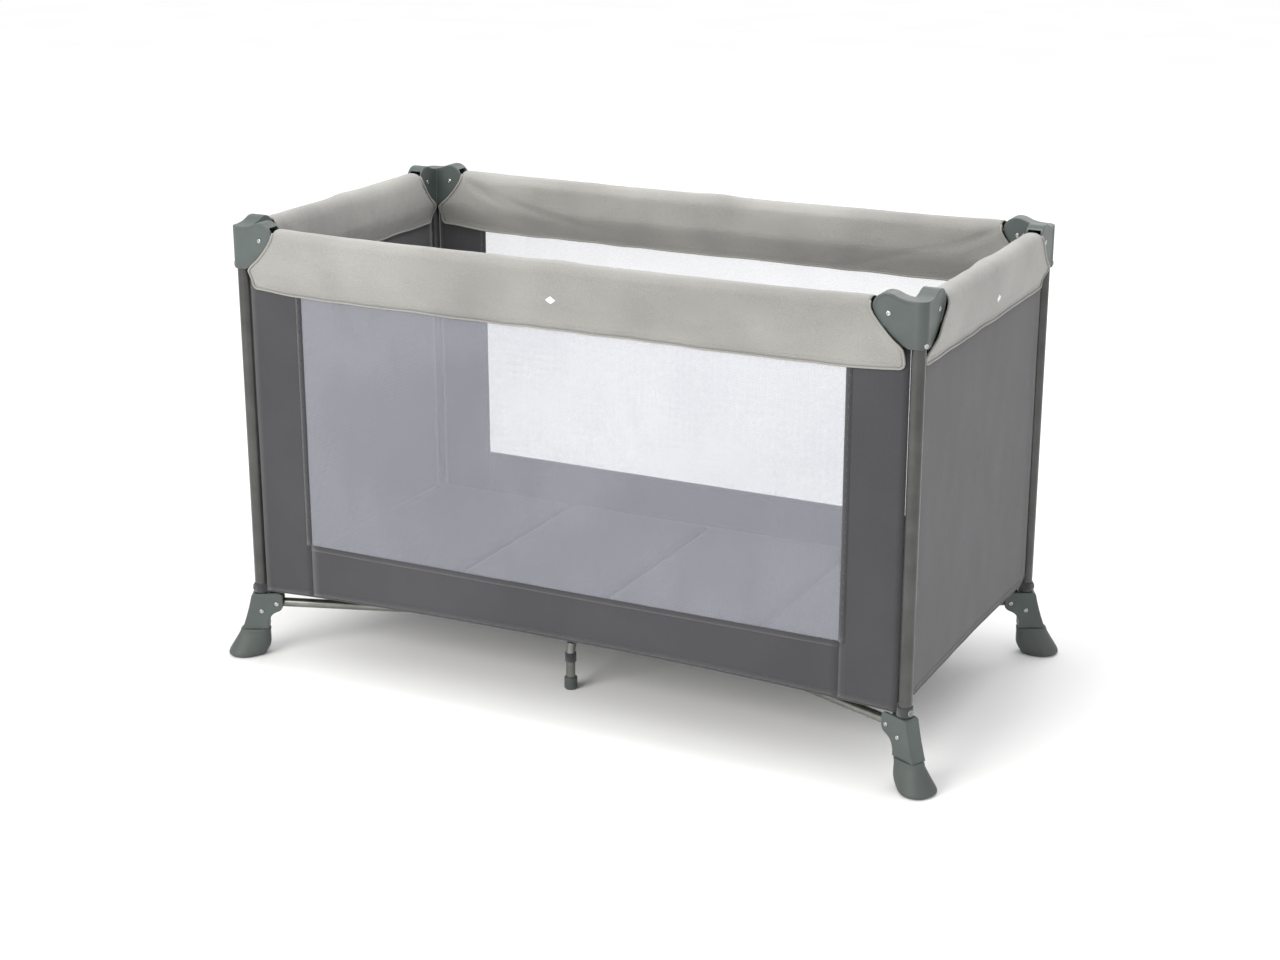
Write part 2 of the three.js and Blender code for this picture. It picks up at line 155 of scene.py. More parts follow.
def weave(tree, place, spacing):
    """Threads that cross at right angles on any level or upright cloth, spacing metres apart."""
    total = None
    for direction in "XYZ":
        inputs = {"Vector": place, "Scale": math.pi / 10 / spacing, "Distortion": 0.6, "Detail": 1.0}
        band = add(tree, "ShaderNodeTexWave", inputs, bands_direction=direction).outputs["Fac"]
        total = band if total is None else add(tree, "ShaderNodeMath", {0: total, 1: band}).outputs[0]
    return total


def woven(name, low, high, spacing, roughness=0.9, sheen=0.3, crease=1.6 * MM):
    """Polyester cloth: dull, flecked where its threads cross, and paler at grazing angles.

    The real threads are 0.3 to 0.5 mm apart; spacing draws them two to three times as coarse, so that
    they show. The flecks are 1.4 mm, the clouds 200 mm, and the creases 40 mm across and crease deep.
    """
    sockets = {"Roughness": roughness, "Sheen_Weight": sheen, "Sheen_Roughness": 0.5, "IOR": 1.45}
    material, tree, shader, place = surface(name, **sockets)
    fleck = add(tree, "ShaderNodeTexNoise", {"Vector": place, "Scale": 700, "Roughness": 0.6})
    cloud = add(tree, "ShaderNodeTexNoise", {"Vector": place, "Scale": 5})
    share = add(tree, "ShaderNodeMath", {0: cloud.outputs["Fac"], 1: 0.55}, operation="MULTIPLY")
    inputs = {0: fleck.outputs["Fac"], 1: 0.45, 2: share.outputs[0]}
    both = add(tree, "ShaderNodeMath", inputs, operation="MULTIPLY_ADD").outputs[0]
    tint(tree, shader, both, low, high, 0.38, 0.62)
    inputs = {"Height": weave(tree, place, spacing), "Distance": 0.25 * MM, "Strength": 0.5}
    threads = add(tree, "ShaderNodeBump", inputs).outputs["Normal"]
    tree.links.new(relief(tree, place, 26, 3.0, crease, 0.45, threads), shader.inputs["Normal"])
    return material


def hard_surface(name, low, high, tone, gloss, grain, **sockets):
    """A hard skin, slightly uneven in tone and gloss under a fine grain.

    tone is its lumps to a metre, gloss is lumps to a metre with the least and the most roughness, and
    grain is a relief's scale, detail, depth and strength.
    """
    material, tree, shader, place = surface(name, **sockets)
    lumps = add(tree, "ShaderNodeTexNoise", {"Vector": place, "Scale": tone, "Detail": 3.0})
    tint(tree, shader, lumps.outputs["Fac"], low, high)
    lumps = add(tree, "ShaderNodeTexNoise", {"Vector": place, "Scale": gloss[0], "Detail": 4.0})
    inputs = {"Value": lumps.outputs["Fac"], "To Min": gloss[1], "To Max": gloss[2]}
    scuffs = add(tree, "ShaderNodeMapRange", inputs)
    tree.links.new(scuffs.outputs["Result"], shader.inputs["Roughness"])
    tree.links.new(relief(tree, place, *grain), shader.inputs["Normal"])
    return material


def moulded(name, low, high, roughness):
    """Moulded in a spark-eroded tool: an even satin with a 0.5 mm grain, and scuffs that vary its gloss."""
    gloss = (60, roughness - 0.06, roughness + 0.08)
    return hard_surface(name, low, high, 14, gloss, (1 / (0.5 * MM), 2.0, 0.04 * MM, 0.6), IOR=1.49)


def coated_steel(name, low, high, roughness, metallic):
    """Drawn tube, coated or bare: soft reflections along its length and a 1.4 mm orange peel."""
    gloss = (90, roughness - 0.05, roughness + 0.07)
    return hard_surface(name, low, high, 30, gloss, (700, 1.0, 0.03 * MM, 0.5), Metallic=metallic)


def knitted_net(name, thread, cell, cover):
    """Warp-knitted net: pale thread round open cells, so that it veils what is behind it."""
    material, tree, shader, place = surface(name, Roughness=0.8, Sheen_Weight=0.2)
    shader.inputs["Base Color"].default_value = linear(thread)
    inputs = {"Value": weave(tree, place, cell), "From Min": 0.5, "From Max": 2.5}
    inputs.update({"To Min": cover - 0.05, "To Max": cover + 0.05})
    alpha = add(tree, "ShaderNodeMapRange", inputs)
    tree.links.new(alpha.outputs["Result"], shader.inputs["Alpha"])
    return material


# Woven from threads of two warm greys over wadding, so it is soft, flecked and shallowly creased.
COVER_CLOTH = woven("cover melange polyester", "#81807d", "#9a9995", 1.2 * MM, crease=3.2 * MM)
# Narrow tape folded round a cord, in the cover's greys but painted a shade paler all over: a painted
# highlight for where the cord rounds over.
COVER_PIPING = woven("cover piping tape", "#8a8984", "#989792", 0.9 * MM)
# Plain woven and coated behind: dull charcoal cloths, stretched almost flat.
WALL_CLOTH = woven("wall oxford polyester", "#353437", "#3f3e41", 1.2 * MM)
BINDING_CLOTH = woven("binding tape", "#353538", "#3f3f43", 0.9 * MM)
FLOOR_CLOTH = woven("floor nylon", "#333336", "#3d3d41", 1.2 * MM)
# Tightly woven over foam: nearly black, with little sheen.
MATTRESS_CLOTH = woven("mattress polyester", "#1e1f23", "#27282d", 1.4 * MM, sheen=0.1)
NET = knitted_net("warp knitted net", "#a8aab4", 2.4 * MM, 0.42)
# Greenish grey mouldings, satin on the housings and chalky on the boots.
HOUSING_PLASTIC = moulded("moulded polypropylene", "#434b49", "#4c5452", 0.42)
BOOT_RUBBER = moulded("thermoplastic rubber", "#434947", "#4b514f", 0.6)
LATCH_PLASTIC = moulded("moulded nylon", "#3c3e40", "#484b4d", 0.5)
BUTTON_PLASTIC = moulded("moulded acetal", "#6f7774", "#7b837f", 0.35)
# Powder coated posts and rails are half dull; the bare floor tubes and the rivets shine.
POST_STEEL = coated_steel("grey powder coated steel", "#424241", "#4b4b4a", 0.22, 0.4)
FLOOR_STEEL = coated_steel("drawn zinc plated steel", "#737470", "#858680", 0.3, 0.9)
RIVET_STEEL = coated_steel("nickel plated rivet", "#a9aaa8", "#bcbdba", 0.26, 1.0)
# Twisted sewing threads, and the matt white film of the marks.
THREAD = woven("sewing thread", "#8d8d92", "#a2a2a6", 0.5 * MM)
DARK_THREAD = woven("dark sewing thread", "#3e3e42", "#4a4a50", 0.5 * MM)
MARK_PRINT = woven("white heat transfer", "#f2f2f0", "#fbfbfa", 0.6 * MM, 0.7)

# ---- Places shared with the CAD --------

HALF_LENGTH = 600 * MM
HALF_WIDTH = 304 * MM
CORNERS = [
    ("front_left", -1, -1, 0),
    ("front_right", 1, -1, 90),
    ("back_right", 1, 1, 180),
    ("back_left", -1, 1, -90),
]
SIDES = ["front", "right", "back", "left"]
POST_RADIUS = 11 * MM
RAIL_Z = 750 * MM
RAIL_RADIUS = 9 * MM


def corner_place(i):
    """Local +X and +Y run along the two sides that meet at corner i."""
    _, sx, sy, turn = CORNERS[i]
    place = Matrix.Translation((sx * HALF_LENGTH, sy * HALF_WIDTH, 0))
    return place @ Matrix.Rotation(math.radians(turn), 4, "Z")


def foot_place(i):
    """Local +X points outwards along the yard's diagonal from corner i's post."""
    _, sx, sy, _ = CORNERS[i]
    azimuth = math.atan2(sy * HALF_WIDTH, sx * HALF_LENGTH)
    place = Matrix.Translation((sx * HALF_LENGTH, sy * HALF_WIDTH, 0))
    return place @ Matrix.Rotation(azimuth, 4, "Z")


def span_of(i):
    return 2 * (HALF_LENGTH if i % 2 == 0 else HALF_WIDTH)


# ---- Mesh tools --------


def smooth_step(t):
    t = min(max(t, 0.0), 1.0)
    return t * t * (3 - 2 * t)


def piece(name, points, faces, material, place=None, smooth=True):
    """A mesh object at the origin, its place in its mesh."""
    mesh = bpy.data.meshes.new(name)
    mesh.from_pydata([tuple(p) for p in points], [], faces)
    if place is not None:
        mesh.transform(place)
    mesh.materials.append(material)
    mesh.polygons.foreach_set("use_smooth", [smooth] * len(mesh.polygons))
    mesh.validate()
    mesh.update()
    return link(bpy.data.objects.new(name, mesh))


def turn_outwards(obj):
    shape = bmesh.new()
    shape.from_mesh(obj.data)
    bmesh.ops.remove_doubles(shape, verts=shape.verts, dist=1e-6)
    bmesh.ops.recalc_face_normals(shape, faces=shape.faces)
    shape.to_mesh(obj.data)
    shape.free()
    return obj


def settle(obj):
    """Replaces an object's mesh by what its modifiers make of it."""
    bpy.context.view_layer.update()
    evaluated = obj.evaluated_get(bpy.context.evaluated_depsgraph_get())
    mesh = bpy.data.meshes.new_from_object(evaluated)
    obj.modifiers.clear()
    obj.data = mesh
    return obj


def modify(obj, kind, **settings):
    modifier = obj.modifiers.new(kind.lower(), kind)
    for key, value in settings.items():
        setattr(modifier, key, value)
    return modifier


def thicken(obj, thickness, offset=0):
    modify(obj, "SOLIDIFY", thickness=thickness, offset=offset)
    return settle(obj)


def grid_faces(rows, columns, round_rows=False, round_columns=False):
    faces = []
    for r in range(rows if round_rows else rows - 1):
        for c in range(columns if round_columns else columns - 1):
            r2, c2 = (r + 1) % rows, (c + 1) % columns
            faces.append((r * columns + c, r * columns + c2, r2 * columns + c2, r2 * columns + c))
    return faces


def stack_faces(rings, sides):
    """The skin round a stack of rings, closed at both ends."""
    last = (rings - 1) * sides
    faces = grid_faces(rings, sides, round_columns=True)
    return faces + [tuple(reversed(range(sides))), tuple(range(last, last + sides))]


def turned(name, profile, material, place=None, sides=40):
    """A profile of (radius, height) pairs, closed on itself, turned about Z."""
    points = []
    for radius, height in profile:
        for k in range(sides):
            angle = 2 * math.pi * k / sides
            points.append((radius * math.cos(angle), radius * math.sin(angle), height))
    faces = grid_faces(len(profile), sides, round_rows=True, round_columns=True)
    return turn_outwards(piece(name, points, faces, material, place))


def open_tube(name, start, end, radius, wall, material):
    """A straight tube with rolled ends."""
    start, end = Vector(start), Vector(end)
    length = (end - start).length
    roll = wall / 2
    profile = []
    for first, middle in ((0, length - roll), (math.pi, roll)):
        for k in range(7):
            angle = first + math.pi * k / 6
            profile.append((radius - roll + roll * math.cos(angle), middle + roll * math.sin(angle)))
    turn = (end - start).to_track_quat("Z", "Y").to_matrix().to_4x4()
    return turned(name, profile, material, Matrix.Translation(start) @ turn)


def along(points):
    """The direction of a path at each of its points."""
    last = len(points) - 1
    return [(points[min(k + 1, last)] - points[max(k - 1, 0)]).normalized() for k in range(last + 1)]


def cord_along(name, points, radius, material):
    """A round bead that follows a path, with closed ends."""
    sides = 8
    points = [Vector(p) for p in points]
    directions = along(points)
    side = directions[0].orthogonal().normalized()
    rings = []
    for point, direction in zip(points, directions):
        side = (side - direction * side.dot(direction)).normalized()
        other = direction.cross(side)
        for k in range(sides):
            angle = 2 * math.pi * k / sides
            rings.append(point + radius * (math.cos(angle) * side + math.sin(angle) * other))
    return turn_outwards(piece(name, rings, stack_faces(len(points), sides), material))


def prism(name, outline, low, high, material, place=None):
    """An outline in X-Z given a thickness along Y."""
    points = [(x, y, z) for y in (low, high) for x, z in outline]
    return turn_outwards(piece(name, points, stack_faces(2, len(outline)), material, place, False))


def join_and_cut(name, solids, cutters, voxel, rounds):
    """One smooth moulding: solids fused, cutters taken away, and its edges rounded by a remesh."""
    base = solids[0]
    for other in solids[1:]:
        modify(base, "BOOLEAN", operation="UNION", object=other, solver="EXACT")
    for other in cutters:
        modify(base, "BOOLEAN", operation="DIFFERENCE", object=other, solver="EXACT")
    settle(base)
    modify(base, "REMESH", mode="VOXEL", voxel_size=voxel, use_smooth_shade=True)
    modify(base, "SMOOTH", factor=0.5, iterations=rounds)
    modify(base, "DECIMATE", ratio=0.4)
    settle(base)
    for other in solids[1:] + cutters:
        bpy.data.objects.remove(other)
    base.name = name
    base.data.name = name
    base.data.polygons.foreach_set("use_smooth", [True] * len(base.data.polygons))
    return base


def copies(master, name, place_of):
    """The same mesh at each corner, each with a mesh of its own."""
    made = []
    for i, (corner, *_) in enumerate(CORNERS):
        mesh = master.data.copy()
        mesh.transform(place_of(i))
        mesh.name = name + corner
        made.append(link(bpy.data.objects.new(name + corner, mesh)))
    bpy.data.objects.remove(master)
    return made


def bezier(start, control, end, steps):
    start, control, end = Vector(start), Vector(control), Vector(end)
    found = []
    for k in range(1, steps + 1):
        t = k / steps
        found.append(tuple((1 - t) ** 2 * start + 2 * t * (1 - t) * control + t * t * end))
    return found


# ---- Cloth simulation --------

PUFF_FRAMES = 20


def puff(obj, cap, pressure, pinned=None):
    """Lets pressure fill a cloth form for some frames; no point moves much further than the cap."""
    before = [v.co.copy() for v in obj.data.vertices]
    cloth = modify(obj, "CLOTH").settings
    cloth.quality = 6
    cloth.mass = 0.3
    cloth.tension_stiffness = cloth.compression_stiffness = 18
    cloth.shear_stiffness = 6
    cloth.bending_stiffness = 0.6
    cloth.use_pressure = True
    cloth.uniform_pressure_force = pressure
    cloth.effector_weights.gravity = 0
    if pinned:
        group = obj.vertex_groups.new(name="sewn")
        group.add(pinned, 1.0, "REPLACE")
        cloth.vertex_group_mass = "sewn"
    for number in range(1, PUFF_FRAMES + 1):
        scene.frame_set(number)
    settle(obj)
    scene.frame_set(1)
    obj.vertex_groups.clear()
    for start, vertex in zip(before, obj.data.vertices):
        move = vertex.co - start
        if move.length > 0:
            vertex.co = start + move.normalized() * cap * math.tanh(move.length / cap)
    return obj


# ---- Geometry Nodes: rivets and stitches --------


def node_tree(name, *sizes):
    """A tree that takes a geometry, some named sizes and a material."""
    tree = bpy.data.node_groups.new(name, "GeometryNodeTree")
    inputs = [("Geometry", "NodeSocketGeometry")] + [(size, "NodeSocketFloat") for size in sizes]
    for label, kind in inputs + [("Material", "NodeSocketMaterial")]:
        tree.interface.new_socket(label, in_out="INPUT", socket_type=kind)
    tree.interface.new_socket("Geometry", in_out="OUTPUT", socket_type="NodeSocketGeometry")
    source = add(tree, "NodeGroupInput").outputs
    return tree, source, add(tree, "NodeGroupOutput")


def finish_tree(tree, source, sink, setting):
    """Puts the instances in place and sends them out as one smooth mesh in its material."""
    placed = add(tree, "GeometryNodeInstanceOnPoints", setting).outputs["Instances"]
    real = add(tree, "GeometryNodeRealizeInstances", {"Geometry": placed}).outputs["Geometry"]
    shaded = add(tree, "GeometryNodeSetShadeSmooth", {"Geometry": real}).outputs["Geometry"]
    inputs = {"Geometry": shaded, "Material": source["Material"]}
    done = add(tree, "GeometryNodeSetMaterial", inputs).outputs["Geometry"]
    tree.links.new(done, sink.inputs["Geometry"])
    return tree


def rivet_tree():
    """A tubular rivet's rolled head on each point, facing along the point's `out` attribute."""
    tree, source, sink = node_tree("Rivet heads", "Radius", "Roll")
    ring = add(tree, "GeometryNodeCurvePrimitiveCircle", {"Resolution": 24, "Radius": source["Radius"]})
    bead = add(tree, "GeometryNodeCurvePrimitiveCircle", {"Resolution": 10, "Radius": source["Roll"]})
    curves = {"Curve": ring.outputs["Curve"], "Profile Curve": bead.outputs["Curve"]}
    head = add(tree, "GeometryNodeCurveToMesh", curves)
    plug_size = {"Vertices": 20, "Radius": source["Radius"], "Depth": source["Roll"]}
    plug = add(tree, "GeometryNodeMeshCylinder", plug_size)
    both = add(tree, "GeometryNodeJoinGeometry")
    tree.links.new(head.outputs["Mesh"], both.inputs["Geometry"])
    tree.links.new(plug.outputs["Mesh"], both.inputs["Geometry"])
    out = add(tree, "GeometryNodeInputNamedAttribute", {"Name": "out"}, data_type="FLOAT_VECTOR")
    along_out = {"Vector": out.outputs["Attribute"]}
    facing = add(tree, "FunctionNodeAlignRotationToVector", along_out, axis="Z").outputs["Rotation"]
    setting = {"Points": source["Geometry"], "Instance": both.outputs["Geometry"], "Rotation": facing}
    return finish_tree(tree, source, sink, setting)


def stitch_tree():
    """A short fat stitch at every pitch along a seam line."""
    tree, source, sink = node_tree("Stitch row", "Pitch", "Length", "Thickness")
    curve = add(tree, "GeometryNodeMeshToCurve", {"Mesh": source["Geometry"]}).outputs["Curve"]
    spacing = {"Curve": curve, "Length": source["Pitch"]}
    spaced = add(tree, "GeometryNodeResampleCurve", spacing, mode="LENGTH")
    stitch = add(tree, "GeometryNodeMeshUVSphere", {"Segments": 6, "Rings": 4, "Radius": 0.5})
    thick = source["Thickness"]
    size = add(tree, "ShaderNodeCombineXYZ", {"X": source["Length"], "Y": thick, "Z": thick})
    tangent = {"Vector": add(tree, "GeometryNodeInputTangent").outputs["Tangent"]}
    setting = {
        "Points": spaced.outputs["Curve"],
        "Instance": stitch.outputs["Mesh"],
        "Rotation": add(tree, "FunctionNodeAlignRotationToVector", tangent, axis="X").outputs["Rotation"],
        "Scale": size.outputs["Vector"],
    }
    return finish_tree(tree, source, sink, setting)


RIVETS = rivet_tree()
STITCHES = stitch_tree()


def grow(obj, tree, material, **values):
    """Runs a node tree on an object and keeps the result as a plain mesh."""
    modifier = obj.modifiers.new(tree.name, "NODES")
    modifier.node_group = tree
    values["Material"] = material
    for item in tree.interface.items_tree:
        if item.in_out == "INPUT" and item.name in values:
            modifier[item.identifier] = values[item.name]
    return settle(obj)


def rivets(name, heads, body):
    """heads is a list of (place, outward direction)."""
    mesh = bpy.data.meshes.new(name)
    mesh.from_pydata([tuple(p) for p, _ in heads], [], [])
    out = mesh.attributes.new("out", "FLOAT_VECTOR", "POINT")
    out.data.foreach_set("vector", [value for _, d in heads for value in d])
    obj = link(bpy.data.objects.new(name, mesh))
    grow(obj, RIVETS, RIVET_STEEL, Radius=2.8 * MM, Roll=1.2 * MM)
    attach(obj, body)


def stitches(name, lines, material, pitch=5 * MM, length=3.4 * MM, thickness=1.3 * MM):
    """Rows of stitches along lines of points."""
    points, edges = [], []
    for line in lines:
        first = len(points)
        points += [tuple(p) for p in line]
        edges += [(k, k + 1) for k in range(first, len(points) - 1)]
    mesh = bpy.data.meshes.new(name)
    mesh.from_pydata(points, edges, [])
    obj = link(bpy.data.objects.new(name, mesh))
    return grow(obj, STITCHES, material, Pitch=pitch, Length=length, Thickness=thickness)


# ---- Steel tubes --------

TUBE_WALL = 1.2 * MM
HUB_PIVOT = 75 * MM
FOOT_PIVOT = 27 * MM
HUB_PIVOT_Z = 66 * MM
FOOT_PIVOT_Z = 97 * MM
FLOOR_TUBE_RADIUS = 8 * MM
FLOOR_TUBE_STUB = 9 * MM  # how far a floor tube runs past its pins
POST_TOP = 748 * MM
POST_BOTTOM = 56 * MM
RAIL_START = 34 * MM
RAIL_BREAK = 30 * MM  # from the side's middle to the end of each half
DIAGONAL = math.hypot(HALF_LENGTH, HALF_WIDTH)


def tube_for(node, body, start, end, radius, material):
    """A smooth tube that stands for a CAD tube."""
    made = open_tube(node + "_steel", start, end, radius, TUBE_WALL, material)
    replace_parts(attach(made, body), node)


for i, (corner, sx, sy, _) in enumerate(CORNERS):
    side = SIDES[i]
    place = corner_place(i)
    top, bottom = place @ Vector((0, 0, POST_TOP)), place @ Vector((0, 0, POST_BOTTOM))
    tube_for(f"post_{corner}", f"corner_{corner}", bottom, top, POST_RADIUS, POST_STEEL)
    span = span_of(i)
    for half, body, ends in (
        ("latch", "a", (RAIL_START, span / 2 - RAIL_BREAK)),
        ("catch", "b", (span / 2 + RAIL_BREAK, span - RAIL_START)),
    ):
        start, end = (place @ Vector((x, 0, RAIL_Z)) for x in ends)
        tube_for(f"{side}_rail_{half}_half", f"{side}_rail_{body}", start, end, RAIL_RADIUS, POST_STEEL)
    outwards = Vector((sx * HALF_LENGTH, sy * HALF_WIDTH, 0)) / DIAGONAL
    inner = outwards * HUB_PIVOT + Vector((0, 0, HUB_PIVOT_Z))
    outer = outwards * (DIAGONAL - FOOT_PIVOT) + Vector((0, 0, FOOT_PIVOT_Z))
    stub = (outer - inner).normalized() * FLOOR_TUBE_STUB
    inner, outer = inner - stub, outer + stub
    tube_for(f"floor_tube_{corner}", f"floor_arm_{corner}", inner, outer, FLOOR_TUBE_RADIUS, FLOOR_STEEL)

# ---- Corner housings --------

WING_HALF = 14 * MM
POCKET_HALF = 10.9 * MM
BORE_RADIUS = 11.4 * MM  # a post's socket
RIVET_FACE = 14.2  # from the middle of a wing or an ear to a rivet on its face, in millimetres
ON_AXIS = 0.1 * MM  # a turned shape stops this far from its axis
HOUSING_LOW, HOUSING_TOP = 699, 771  # a housing's round sleeve, in millimetres


def millimetres(pairs):
    return [(a * MM, b * MM) for a, b in pairs]


def round_bar(name, radius, low, high):
    """An upright round bar that is fused into a moulding or cut out of it."""
    profile = [(ON_AXIS, low), (radius, low), (radius, high), (ON_AXIS, high)]
    return turned(name, profile, HOUSING_PLASTIC, sides=48)


WING_TIP = bezier((66, 748), (74, 764), (61, 775), 6)
WING_TIP += bezier((61, 775), (48, 785), (31, 776), 6)


def wing_outline():
    """A wing's leaf shape in millimetres, from the post's axis out to its round tip."""
    outline = [(0, HOUSING_LOW), (13, HOUSING_LOW)]
    outline += bezier((13, HOUSING_LOW), (46, 716), (66, 748), 8)
    return outline + WING_TIP + bezier((31, 776), (20, HOUSING_TOP), (0, HOUSING_TOP), 6)


def wing_rim():
    """The raised bead along a wing's top and round its tip, as a narrow band."""
    edge = bezier((46, 722), (58, 734), (66, 748), 4)
    edge += WING_TIP + bezier((31, 776), (20, HOUSING_TOP), (4, HOUSING_TOP), 5)
    path = [Vector((a, b)) for a, b in edge]
    inner = [point + 3.6 * Vector((-run.y, run.x)) for point, run in zip(path, along(path))]
    return [tuple(p) for p in path + inner[::-1]]


def housing_master():
    turn = Matrix.Rotation(math.pi / 2, 4, "Z")
    solids, cutters = [], []
    for place in (Matrix.Identity(4), turn):
        leaf = millimetres(wing_outline())
        solids.append(prism("wing", leaf, -WING_HALF, WING_HALF, HOUSING_PLASTIC, place))
        outer = 1 if place is turn else -1
        rim = sorted((outer * (WING_HALF + 1.3 * MM), outer * (WING_HALF - 1 * MM)))
        solids.append(prism("rim", millimetres(wing_rim()), rim[0], rim[1], HOUSING_PLASTIC, place))
        hollow = [(17, 660), (100, 660), (100, 764), (72, 768)]
        hollow = millimetres(hollow + [(58, 774), (45, 773), (30, 767), (17, 757)])
        cutters.append(prism("pocket", hollow, -POCKET_HALF, POCKET_HALF, HOUSING_PLASTIC, place))
    solids.append(round_bar("sleeve", 15 * MM, HOUSING_LOW * MM, HOUSING_TOP * MM))
    cutters.append(round_bar("bore", BORE_RADIUS, 660 * MM, 748.5 * MM))
    return join_and_cut("housing_master", solids, cutters, 0.9 * MM, 6)


housings = copies(housing_master(), "corner_housing_moulding_", corner_place)
for i, (corner, *_) in enumerate(CORNERS):
    body = f"corner_{corner}"
    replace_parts(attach(housings[i], body), f"corner_housing_{corner}")
    place = corner_place(i)
    turn = place.to_3x3()
    heads = []
    for x, y, out in (
        (44, -RIVET_FACE, (0, -1, 0)),
        (44, RIVET_FACE, (0, 1, 0)),
        (-RIVET_FACE, 44, (-1, 0, 0)),
        (RIVET_FACE, 44, (1, 0, 0)),
    ):
        heads.append((place @ Vector((x * MM, y * MM, RAIL_Z)), turn @ Vector(out)))
    foot = foot_place(i)
    outwards = (foot.to_3x3() @ Vector((1, 0, 0))).normalized()
    heads.append((foot @ Vector((15.2 * MM, 0, 705 * MM)), outwards))
    rivets(f"housing_rivets_{corner}", heads, body)

# ---- Feet --------

BOOT_SIDES = 56


def bracket_master():
    """A slanting clevis over the boot: its ears hold the floor tube, and the post stands in its socket."""
    outline = [(-11, 50.4), (35.4, 50.4)] + bezier((35.4, 50.4), (24, 80), (17, 112), 6)
    outline += bezier((17, 112), (16, 116), (12, 116), 3) + [(-30, 116)]
    outline += bezier((-30, 116), (-38, 116), (-38, 107), 4) + [(-38, 94)]
    outline += bezier((-38, 94), (-37, 85), (-28, 82), 4) + bezier((-28, 82), (-13, 77), (-11, 60), 6)
    solids = [prism("bracket", millimetres(outline), -14 * MM, 14 * MM, HOUSING_PLASTIC)]
    cutters = [round_bar("socket", BORE_RADIUS, 55 * MM, 130 * MM)]
    slot = millimetres([(-60, 50), (-14, 50), (-14, 140), (-60, 140)])
    cutters.append(prism("slot", slot, -8.9 * MM, 8.9 * MM, HOUSING_PLASTIC))
    return join_and_cut("bracket_master", solids, cutters, 0.8 * MM, 5)


def boot_ring(heel, toe, heel_half, toe_half, z):
    """One level of the boot: a narrow squared heel, sides that flare, and a round toe."""
    ring = []
    middle = heel + (toe - heel) * 0.52
    for k in range(BOOT_SIDES):
        angle = 2 * math.pi * k / BOOT_SIDES
        c, s = math.cos(angle), math.sin(angle)
        x = math.copysign(abs(c) ** (0.5 if c < 0 else 0.86), c)
        y = math.copysign(abs(s) ** 0.8, s)
        reach = (toe - middle) if x > 0 else (middle - heel)
        half = heel_half + (toe_half - heel_half) * smooth_step((x + 1) / 1.1)
        ring.append((middle + x * reach, y * half, z))
    return ring


def boot_master():
    """A thick rubber boot: flat sole, rolled edge, slanting toe, and a rim that grips the bracket."""
    levels = [
        (0, 54, 14, 24, 0.0),
        (-1.5, 59, 16, 28, 0.9),
        (-3.5, 62.5, 18, 30.6, 3.2),
        (-5.5, 62.8, 18.6, 30.8, 7),
        (-9, 60, 18.8, 29.2, 12),
        (-12, 56, 18.4, 26.8, 18.5),
        (-12.4, 50.5, 17.4, 23.4, 27),
        (-12.2, 44.5, 16.4, 19.8, 37),
        (-12, 40.6, 15.6, 17.4, 43.6),
        (-13, 41, 16.4, 18, 45),
        (-13, 39.4, 16.4, 17.6, 48.6),
        (-12, 38.2, 15.4, 16.6, 50),
        (-10.6, 36.4, 14.2, 15, 50.2),
    ]
    points = []
    for level in levels:
        points += [(x * MM, y * MM, z * MM) for x, y, z in boot_ring(*level)]
    faces = stack_faces(len(levels), BOOT_SIDES)
    boot = turn_outwards(piece("boot_master", points, faces, BOOT_RUBBER))
    modify(boot, "SUBSURF", levels=1, render_levels=1)
    settle(boot)
    boot.data.set_sharp_from_angle(angle=math.radians(50))
    return boot


brackets = copies(bracket_master(), "foot_bracket_moulding_", foot_place)
boots = copies(boot_master(), "foot_boot_moulding_", foot_place)
for i, (corner, *_) in enumerate(CORNERS):
    body = f"corner_{corner}"
    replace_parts(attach(brackets[i], body), f"foot_bracket_{corner}")
    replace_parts(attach(boots[i], body), f"foot_boot_{corner}")
    place = foot_place(i)
    turn = place.to_3x3()
    heads = []
    for out in (-1, 1):
        for x, z in ((0, 84), (-27, 97)):
            head = Vector((x * MM, out * RIVET_FACE * MM, z * MM))
            heads.append((place @ head, turn @ Vector((0, out, 0))))
    rivets(f"foot_rivets_{corner}", heads, body)

# ---- Rail covers --------

COVER_END = 20 * MM
COVER_ARC_Z = 752 * MM  # where the flat sides turn into the round top
COVER_HALF = 18.6 * MM
HEM_HALF = 3.6 * MM
COVER_SWELL = 3 * MM  # how far the wadding pushes the cloth out
MARK_Z = 711 * MM
# Height and distance from the post's axis, in millimetres, of a cover's edge beside a housing's wing.
END_CUT = [(697, 20), (700, 22), (705, 27), (717, 41), (731, 54)]
END_CUT += [(745, 65), (755, 71), (768, 73), (800, 74)]


def cover_bottom(i, x):
    """The hem hangs lower at a long side's ends than at its middle."""
    span = span_of(i)
    hem_wave = 1.6 * MM * noise.noise(Vector((x * 16, 5.0 * i, 0.5)))
    if i % 2:
        return 668 * MM + hem_wave
    s = abs(2 * x / span - 1)
    return 659 * MM + 7 * MM * smooth_step((s - 0.75) / 0.25) + hem_wave


def end_gap(z, bottom):
    """How far a cover's edge is from the post's axis at height z: square below, cut away round the wing."""
    if z > END_CUT[0][0] * MM:
        for (z1, x1), (z2, x2) in zip(END_CUT, END_CUT[1:]):
            if z <= z2 * MM:
                return (x1 + (x2 - x1) * (z / MM - z1) / (z2 - z1)) * MM
        return END_CUT[-1][1] * MM
    rise = min(max((z - bottom) / (9 * MM), 0.0), 1.0)
    return COVER_END + 9 * MM * (1 - math.sqrt(1 - (1 - rise) ** 2))


